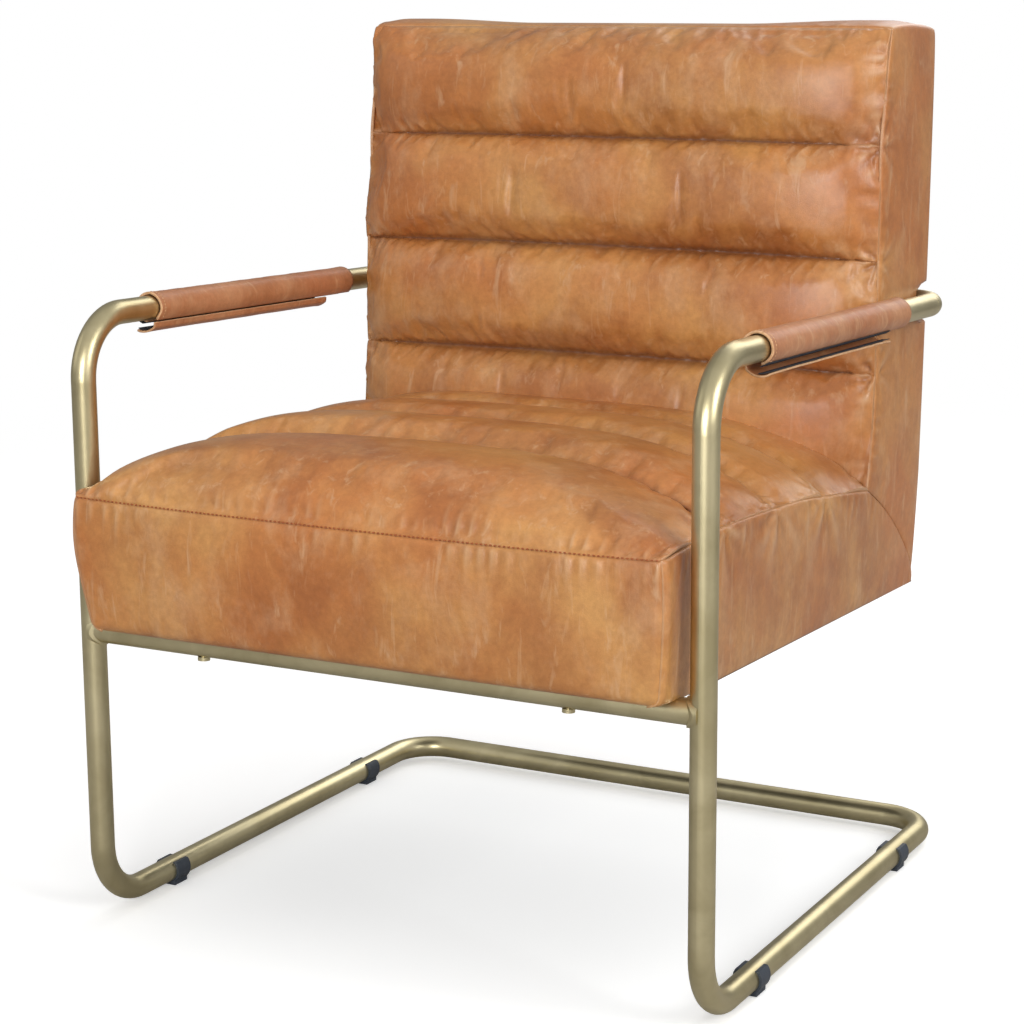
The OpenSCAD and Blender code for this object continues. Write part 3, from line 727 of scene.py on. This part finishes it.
def thicken(piece, thickness, rimSlot=0):
    pick(piece)
    bpy.ops.object.modifier_add(type="SOLIDIFY")
    solid = piece.modifiers[-1]
    solid.thickness = thickness / 1000
    solid.offset = -1
    solid.material_offset_rim = rimSlot
    bpy.ops.object.modifier_apply(modifier=solid.name)
    faceOutwards(piece)


def bodyDirection(x, y, z):
    return (toRow(x, y, z) - toRow(0, 0, 0)) * 1000


clothSettings = {
    "pressure": 3.0, "surplus": 0.035, "frames": 22, "quality": 6, "mass": 0.4,
    "bending": 0.8, "stiffness": 28.0, "damping": 8,
    "cap": 6.0,  # the most that a point may move, in millimetres
}


def inflate(piece, pinned, freedom):  # lets the leather billow between its seams, then keeps the result
    s = clothSettings
    pick(piece)
    start = [vert.co.copy() for vert in piece.data.vertices]
    group = piece.vertex_groups.new(name="sewn")
    group.add([i for i, fixed in enumerate(pinned) if fixed], 1.0, "REPLACE")
    bpy.ops.object.modifier_add(type="CLOTH")
    cloth = piece.modifiers[-1]
    cloth.point_cache.frame_start = 1
    cloth.point_cache.frame_end = s["frames"]
    c = cloth.settings
    c.quality = s["quality"]
    c.mass = s["mass"]
    c.air_damping = 3
    c.vertex_group_mass = "sewn"
    c.tension_stiffness = s["stiffness"]
    c.compression_stiffness = s["stiffness"]
    c.shear_stiffness = s["stiffness"] / 2
    c.bending_stiffness = s["bending"]
    c.tension_damping = s["damping"]
    c.compression_damping = s["damping"]
    c.shear_damping = s["damping"]
    c.use_pressure = True
    c.uniform_pressure_force = s["pressure"]
    c.shrink_min = -s["surplus"]
    c.effector_weights.gravity = 0
    cloth.collision_settings.use_collision = False
    cloth.collision_settings.use_self_collision = False
    scene.frame_start = 1
    scene.frame_end = s["frames"]
    for number in range(1, s["frames"] + 1):
        scene.frame_set(number)
    settled = piece.evaluated_get(bpy.context.evaluated_depsgraph_get())
    ends = [vert.co.copy() for vert in settled.data.vertices]
    piece.modifiers.remove(cloth)
    scene.frame_set(1)
    cap = s["cap"] / 1000
    moved = 0.0
    for vert, begin, end, free in zip(piece.data.vertices, start, ends, freedom):
        shift = end - begin
        if shift.length > cap * free:
            shift *= cap * free / shift.length
        moved = max(moved, shift.length)
        vert.co = begin + shift
    piece.vertex_groups.clear()
    piece.data.update()
    print(piece.name, "billowed by up to", round(moved * 1000, 1), "mm")


def valleyRows(shape):
    rows = [0]
    for count in shape["rows"]:
        rows.append(rows[-1] + count)
    return rows


def makeRolls(name, shape, place):
    rows = valleyRows(shape)
    piece, spots = gridPiece(name, shape["columns"], rows[-1], place)
    pinned, freedom = [], []
    for u, t, local in spots:
        row = round(t * rows[-1])
        column = round(u * shape["columns"])
        sewn = row in rows or column in (0, shape["columns"])
        pinned.append(sewn)
        fromSide = bodyShape["half"] - abs(local[0])
        freedom.append(0.0 if sewn else 0.12 + 0.88 * ease(fromSide / 30))
    inflate(piece, pinned, freedom)
    return piece, spots


# painted shade, strongest on a sewn valley, weaker a few rows away and towards the sides
def valleyShade(row, rows, column, columns):
    near = min(abs(row - valley) for valley in rows[1:-1])
    ends = ease(min(column, columns - column) / 16)
    return {0: 0.85, 1: 0.34, 2: 0.13, 3: 0.05}.get(near, 0.0) * (0.15 + 0.85 * ends)


def makeSeatTop():
    s = seatShape
    rows = valleyRows(s)
    piece, spots = makeRolls("seatTop", s, seatTopPoint)
    heights, folds, paleEdgeAndHighlight = [], [], []
    for u, t, (x, y, z) in spots:
        row, column = round(t * rows[-1]), round(u * s["columns"])
        fromSide = bodyShape["half"] - abs(x)
        side = 1 if x > 0 else -1
        up = 0.0
        if row > 0:
            fromFront = math.hypot(y - s["seamFront"], z - s["seamHeight"])
            up += 1.5 * seamPucker(x, fromFront, 1.3, 13.0, 25.0)
        up += 0.7 * seamPucker(y, fromSide, 5.2 + side, 15.0, 16.0)
        for index in (1, 2, 3):
            up += endPucker(fromSide, y - s["valleySides"][index], index + 2.2 * side, 26.0)
        fromRim = min(column, s["columns"] - column, row, rows[-1] - row)
        heights.append(up * ease(fromRim / 3) if fromRim > 0 else 0.0)
        # painted highlight on a pucker's ridge and painted shade in its crease; the side edges are drawn
        # paler
        paler, deeper = puckerLightAndShade(heights[-1])
        # painted shade on the seat's last row, where it runs under the back
        shadeUnderBack = 0.5 if row == rows[-1] else 0.0
        folds.append(valleyShade(row, rows, column, s["columns"]) + shadeUnderBack + deeper)
        paleEdgeAndHighlight.append(0.55 if column in (0, s["columns"]) else paler)
    raiseAlong(piece, heights)
    addShade(piece, "fold", folds)
    addShade(piece, "paleEdgeAndHighlight", paleEdgeAndHighlight)
    closeBehind(piece, bodyDirection(0, 0, -0.012))
    return piece


def makeBackFront():
    s = backShape
    rows = valleyRows(s)
    piece, spots = makeRolls("backFront", s, backFrontPoint)
    heights, folds, paleEdgeAndHighlight = [], [], []
    for u, t, (x, y, z) in spots:
        row, column = round(t * rows[-1]), round(u * s["columns"])
        fromSide = bodyShape["half"] - abs(x)
        side = 1 if x > 0 else -1
        up = seamPucker(z, fromSide, 11.2 + side, 13.0, 22.0)
        up += 0.2 * seamPucker(x, abs(s["topEdge"] - z), 15.0, 21.0, 12.0)
        for index in (1, 2, 3):
            up += endPucker(fromSide, z - s["valleySides"][index], index + 4.1 * side, 30.0)
            near = abs(z - backValley(index, abs(x) / bodyShape["half"]))
            up += 0.8 * seamPucker(x + 0.5 * near, near, 20.0 + index, 14.0, 15.0)
        fromRim = min(column, s["columns"] - column, row, rows[-1] - row)
        heights.append(up * ease(fromRim / 3) if fromRim > 0 else 0.0)
        # painted highlight on a pucker's ridge and painted shade in its crease; the side and top edges are
        # drawn paler
        paler, deeper = puckerLightAndShade(heights[-1])
        folds.append(valleyShade(row, rows, column, s["columns"]) + deeper)
        paleEdgeAndHighlight.append(0.55 if column in (0, s["columns"]) or row == rows[-1] else paler)
    raiseAlong(piece, heights)
    addShade(piece, "fold", folds)
    addShade(piece, "paleEdgeAndHighlight", paleEdgeAndHighlight)
    closeBehind(piece, bodyDirection(0, 0.012, 0))
    return piece


seatTop = makeSeatTop()
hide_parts("seat_top_cover", "seat_pad", "seat_foam")
backFront = makeBackFront()
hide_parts("back_front_cover", "back_pad", "back_foam")
print("seat and back rolls made")


def finishPanel(name, columns, rows, place, pucker, flip):
    piece, spots = gridPiece(name, columns, rows, place, flip)
    heights, paleEdgeAndHighlight, folds = [], [], []
    for u, t, local in spots:
        edge = min(u * columns, (1 - u) * columns, t * rows, (1 - t) * rows)
        heights.append(pucker(u, t, local) * ease(edge / 3) if edge > 0.5 else 0.0)
        # painted highlight on a pucker's ridge and painted shade in its crease; the panel's edge is drawn
        # paler
        paler, deeper = puckerLightAndShade(heights[-1])
        paleEdgeAndHighlight.append(0.55 if edge < 0.5 else paler)
        folds.append(deeper)
    raiseAlong(piece, heights)
    addShade(piece, "fold", folds)
    addShade(piece, "paleEdgeAndHighlight", paleEdgeAndHighlight)
    thicken(piece, panelShape["thick"])
    return piece


def seatFrontPoint(u, t):
    f = clustered(u) * 2 - 1
    v = clustered(t)
    top = seatShape["seamHeight"] + 1.0 * abs(f)**4 - 1.5 * (1 - abs(f)**2.4)
    z = top * v
    half = bodyHalf(z)
    swell = (4 * v * (1 - v))**0.6 * (1 - abs(f)**6)
    edge = min(top - z, z + 3, (1 - abs(f)) * half)
    y = seatFrontY(z) - panelShape["frontBulge"] * swell + rimFall(edge)
    x, y, z = softPlan(f * half, y, z)
    under = lowEdge(z, 9.0)
    return x * (1 - under / 600), y + under, z


def seatFrontPucker(u, t, local):
    x, y, z = local
    up = 1.2 * seamPucker(x, seatShape["seamHeight"] - z, 31.0, 13.0, 26.0)
    return up + 0.6 * seamPucker(x, z, 35.0, 23.0, 16.0)


mitreSeam = [(419, 112), (464, 90), (504, 65), (545, 31), (565, 5)]


def seatSidePlace(u, t):  # from the front corner to the mitre and the rear edge
    y = seatShape["seamFront"] + clustered(u) * (bodyShape["rearY"] - seatShape["seamFront"])
    top = seatSideSeam(y) if y <= bodyShape["meetY"] else curveThrough(mitreSeam, y)
    z = top * clustered(t)
    ahead = max(0.0, min(1.0, (60 - y) / 105))
    y += (seatFrontY(z) - seatShape["seamFront"]) * ahead
    return y, z, top


def seatSidePoint(sign):
    def point(u, t):
        y, z, top = seatSidePlace(u, t)
        swell = (16 * u * (1 - u) * t * (1 - t))**0.4
        edge = min(top - z, y - seatFrontY(z), bodyShape["rearY"] - y)
        x = sign * (bodyHalf(z) + panelShape["sideBulge"] * swell - rimFall(edge))
        x, y, z = softPlan(x, y, z)
        under = lowEdge(z, 2.0 + 7.0 * ease((20 - y) / 60))
        return x - sign * under, y, z
    return point


def seatSidePucker(sign):
    def pucker(u, t, local):
        x, y, z = local
        under = seatSideSeam(min(bodyShape["meetY"], y)) - z
        up = 0.9 * seamPucker(y + 0.35 * under, max(0.0, under), 41.0 + sign, 16.0, 26.0)
        up += 0.5 * seamPucker(y, z, 44.0 + sign, 26.0, 14.0)
        for index in (1, 2, 3):
            up += 1.2 * endPucker(under, y - seatShape["valleySides"][index], index + 6.3 * sign, 34.0)
        return up
    return pucker


grooveShape = {"middle": 280.0, "half": 17.5, "soft": 5.0, "depth": 20.5, "sideDepth": 31.5}


def barGroove(x, z):  # the channel across the rear that the back bar lies in
    g = grooveShape
    inside = ease((g["half"] + 0.5 * g["soft"] - abs(z - g["middle"])) / g["soft"])
    return inside * (g["depth"] + (g["sideDepth"] - g["depth"]) * ease((abs(x) - 235) / 40))


topDepth = bodyShape["rearY"] - backShape["topFront"]


def backTopHeight(f, v):  # the top turns down a little at the rear
    swell = (4 * v * (1 - v))**0.6
    turned = panelShape["topTurn"]
    past = max(0.0, topDepth * v - (topDepth - turned))
    rear = turned - math.sqrt(max(0.0, turned**2 - past**2))
    ends = 0.45 + 0.42 * ease((abs(f) - 0.40) / 0.45) - 0.30 * ease((abs(f) - 0.92) / 0.08)
    return backShape["topHeight"] + 0.5 * (1 - abs(f)**3) + panelShape["topBulge"] * swell * ends - rear


def backSidePoint(sign):
    def point(u, t):
        a, b = clustered(u), clustered(t)
        rearY, meetY = bodyShape["rearY"], bodyShape["meetY"]
        y = meetY + (rearY - meetY) * a
        low, high = curveThrough(mitreSeam, y), backTopHeight(1.0, a)
        z = low + (high - low) * b
        front = backSideSeam(z)
        y = front + (rearY - barGroove(bodyShape["half"], z) - front) * a
        swell = (16 * u * (1 - u) * t * (1 - t))**0.5
        edge = min((rearY - front) * min(a, 1 - a), (high - low) * min(b, 1 - b))
        bulge = panelShape["sideBulge"] if sign > 0 else 0.5
        x = sign * (bodyHalf(z) + bulge * swell - rimFall(edge))
        return softPlan(backWidth(x, y, z), y, z)
    return point


def backSidePucker(sign):
    def pucker(u, t, local):
        x, y, z = local
        away = y - backSideSeam(z)
        up = 0.7 * seamPucker(z, max(0.0, away), 51.0 + sign, 15.0, 16.0)
        for index in (1, 2, 3):
            up += 0.8 * endPucker(away, z - backShape["valleySides"][index], index + 7.7 * sign, 22.0)
        return up
    return pucker


def backTopPoint(u, t):
    f = clustered(u) * 2 - 1
    v = clustered(t)
    edge = min(v * topDepth, (1 - v) * topDepth, (1 - abs(f)) * bodyShape["half"])
    y = backShape["topFront"] + topDepth * v
    z = backTopHeight(f, v) - rimFall(edge)
    return softPlan(backWidth(f * bodyShape["half"], y, backShape["topEdge"]), y, z)


def backTopPucker(u, t, local):
    x, y, z = local
    return 0.5 * seamPucker(x, y - backShape["topFront"], 61.0, 22.0, 14.0)


def backRearPoint(u, t):
    f = clustered(u) * 2 - 1
    v = clustered(t)
    swell = (16 * u * (1 - u) * t * (1 - t))**0.5
    top = backTopHeight(f, 1.0)
    z = v * top
    edge = min((1 - abs(f)) * bodyShape["half"], top - z)
    groove = barGroove(f * bodyShape["half"], z)
    y = bodyShape["rearY"] + (0.0 if groove else panelShape["rearBulge"] * swell) - rimFall(edge)
    x, y, z = softPlan(f * bodyHalf(z), y, z)
    return x, y - groove - lowEdge(z, 5.0), z


def noPucker(u, t, local):
    return 0.0


panels = {"seatFront": finishPanel("seatFront", 170, 44, seatFrontPoint, seatFrontPucker, False)}
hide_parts("seat_front_cover")
for side, sign in (("right", 1), ("left", -1)):
    name = "seatSide" + side.title()
    panels[name] = finishPanel(name, 170, 40, seatSidePoint(sign), seatSidePucker(sign), sign < 0)
    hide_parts("seat_side_cover_" + side)
    name = "backSide" + side.title()
    panels[name] = finishPanel(name, 44, 170, backSidePoint(sign), backSidePucker(sign), sign < 0)
    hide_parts("back_side_cover_" + side)
panels["backTop"] = finishPanel("backTop", 150, 40, backTopPoint, backTopPucker, False)
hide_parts("back_top_cover")
panels["backRear"] = finishPanel("backRear", 110, 190, backRearPoint, noPucker, True)
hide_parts("back_rear_cover")
print("side, front, top and rear panels made")


# --- stitching

def stitchRun(name, points, sizes, mat):  # a row of small rounded stitches along a line
    mesh = bpy.data.meshes.new(name)
    piece = bpy.data.objects.new(name, mesh)
    scene.collection.objects.link(piece)
    bm = bmesh.new()
    pitch, length, radius = sizes["pitch"], sizes["length"], sizes["radius"]
    walked, wanted = 0.0, pitch / 2
    for a, b in zip(points, points[1:]):
        step = (b - a).length
        while wanted <= walked + step and step > 0:
            middle = a.lerp(b, (wanted - walked) / step)
            turn = (b - a).to_track_quat("Z", "Y").to_matrix().to_4x4()
            size = Matrix.Diagonal((radius, radius, length / 2, 1))
            place = Matrix.Translation(middle) @ turn @ size
            bmesh.ops.create_icosphere(bm, subdivisions=1, radius=1, matrix=place)
            wanted += pitch
        walked += step
    bm.to_mesh(mesh)
    bm.free()
    mesh.materials.append(mat)
    faceOutwards(piece)
    return piece


frontStitch = {"pitch": 0.0042, "length": 0.0027, "radius": 0.00082}
wrapStitch = {"pitch": 0.0030, "length": 0.0023, "radius": 0.00045}


def frontSeamLine():
    line = []
    for i in range(281):
        f = -0.985 + 1.97 * i / 280
        spread = abs(f)
        z = seatShape["seamHeight"] + 1.0 * spread**4 - 1.5 * (1 - spread**2.4)
        x, y, z = softPlan(f * bodyShape["half"], seatShape["seamFront"] - 0.5, z)
        line.append(toRow(x, y, z + 0.2))
    return line


frontStitches = stitchRun("frontSeamStitches", frontSeamLine(), frontStitch, thread)
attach(frontStitches, "chair")
print("front seam stitched")


# --- leather arm wraps with a closing flap along the underside

wrapShape = {
    "corner": (300.0, -278.55, 558.1), "slope": 0.025736, "frontAt": 102.0, "length": 335.0,
    "radius": 14.2, "thick": 2.4, "fromAngle": -75.0, "toAngle": 232.0, "ragged": 1.3,
    "stitchIn": 5.5,
    "flapFrom": 234.5, "flapTo": 312.0, "flapRadius": 18.25, "rootRadius": 16.1, "flapThick": 1.7,
    "flapOpen": 20.0, "hingeRadius": 15.46, "flapRear": 44.0, "flapLength": 295.0, "flapFlare": 1.0,
    "flat": (0.070, 0.335), "flapFlat": (0.025, 0.295),  # as cut, in metres
}


def armPoint(sign, across, up, along):  # along runs from the rear end of the wrap to its front end
    w = wrapShape
    level = math.sqrt(1 - w["slope"]**2)
    back = w["frontAt"] + w["length"] - along
    cx, cy, cz = w["corner"]
    x = sign * (cx + across)
    y = cy + back * level + up * w["slope"]
    z = cz - back * w["slope"] + up * level
    return Vector((x, y, z)) / 1000


def sleeveRadius(sign, u, v):  # even where the closing strip is sewn on and beside the flap's fold
    w = wrapShape
    free = ease((u - 0.08) / 0.1) * (1 - ease((u - 0.82) / 0.12))
    toEnd = min(v, 1 - v) * w["length"]
    lip = 0.5 * math.exp(-toEnd / 5)
    uneven = 0.35 * rough(u * 6, v * 14, sign * 2.0) + 0.2 * rough(u * 15, v * 40, sign)
    return w["radius"] + free * (uneven + lip)


def sleevePoint(sign):
    w = wrapShape

    def place(u, v):
        angle = math.radians(w["fromAngle"] + (w["toAngle"] - w["fromAngle"]) * u)
        end = (v - 0.5) * 2
        along = v * w["length"] + end**9 * w["ragged"] * rough(u * 7, 3.3 * sign, end)
        radius = sleeveRadius(sign, u, v)
        return armPoint(sign, radius * math.cos(angle), radius * math.sin(angle), along)
    return place


def flapPoint(sign):
    w = wrapShape
    hinge = math.radians(w["flapFrom"] - 0.5)
    px, pz = w["hingeRadius"] * math.cos(hinge), w["hingeRadius"] * math.sin(hinge)
    swing = -math.radians(w["flapOpen"])

    def place(u, v):
        angle = math.radians(w["flapFrom"] + (w["flapTo"] - w["flapFrom"]) * u)
        along = w["flapRear"] + v * w["flapLength"] + (2 * v - 1)**9 * 1.5 * rough(u * 3, v * 2, 9.0 * sign)
        toEnd = min(v, 1 - v) * w["flapLength"]
        radius = w["rootRadius"] + (w["flapRadius"] - w["rootRadius"]) * ease(u / 0.22)
        radius += w["flapFlare"] * u * math.exp(-toEnd / 9)
        radius += 0.3 * u * (1 + rough(v * 11, 5.5 * sign))
        dx, dz = radius * math.cos(angle) - px, radius * math.sin(angle) - pz
        across = px + dx * math.cos(swing) - dz * math.sin(swing)
        up = pz + dx * math.sin(swing) + dz * math.cos(swing)
        return armPoint(sign, across, up, along)
    return place


def wrapSheet(name, columns, rows, place, thickness, sign):
    deselectAll()
    bpy.ops.mesh.primitive_grid_add(x_subdivisions=columns, y_subdivisions=rows, size=2)
    piece = bpy.context.object
    piece.name = name
    piece.data.name = name
    for vert in piece.data.vertices:
        vert.co = place((vert.co.x + 1) / 2, (vert.co.y + 1) / 2)
    piece.data.materials.append(wrapLeather)
    piece.data.materials.append(rawEdge)
    addShade(piece, "fold", [0.0] * len(piece.data.vertices))
    addShade(piece, "paleEdgeAndHighlight", [0.0] * len(piece.data.vertices))
    if sign < 0:
        turnOver(piece)
    thicken(piece, thickness, 1)
    return piece


for side, sign in (("right", 1), ("left", -1)):
    w = wrapShape
    sleeve = wrapSheet("armWrap" + side.title(), 60, 150, sleevePoint(sign), w["thick"], sign)
    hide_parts("arm_wrap_" + side)
    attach(sleeve, "wrap_" + side)
    line = []
    for i in range(60):
        u = 0.03 + 0.94 * i / 59
        angle = math.radians(w["fromAngle"] + (w["toAngle"] - w["fromAngle"]) * u)
        r = sleeveRadius(sign, u, 1 - w["stitchIn"] / w["length"]) + 0.1
        line.append(armPoint(sign, r * math.cos(angle), r * math.sin(angle), w["length"] - w["stitchIn"]))
    seam = stitchRun("armWrapStitches" + side.title(), line, wrapStitch, rawEdge)
    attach(seam, "wrap_" + side)
    flap = wrapSheet("wrapFlap" + side.title(), 24, 130, flapPoint(sign), w["flapThick"], sign)
    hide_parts("wrap_flap_" + side)
    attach(flap, "flap_" + side)
print("arm wraps and flaps made")

for piece in [seatTop, backFront, *panels.values()]:
    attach(piece, "chair")
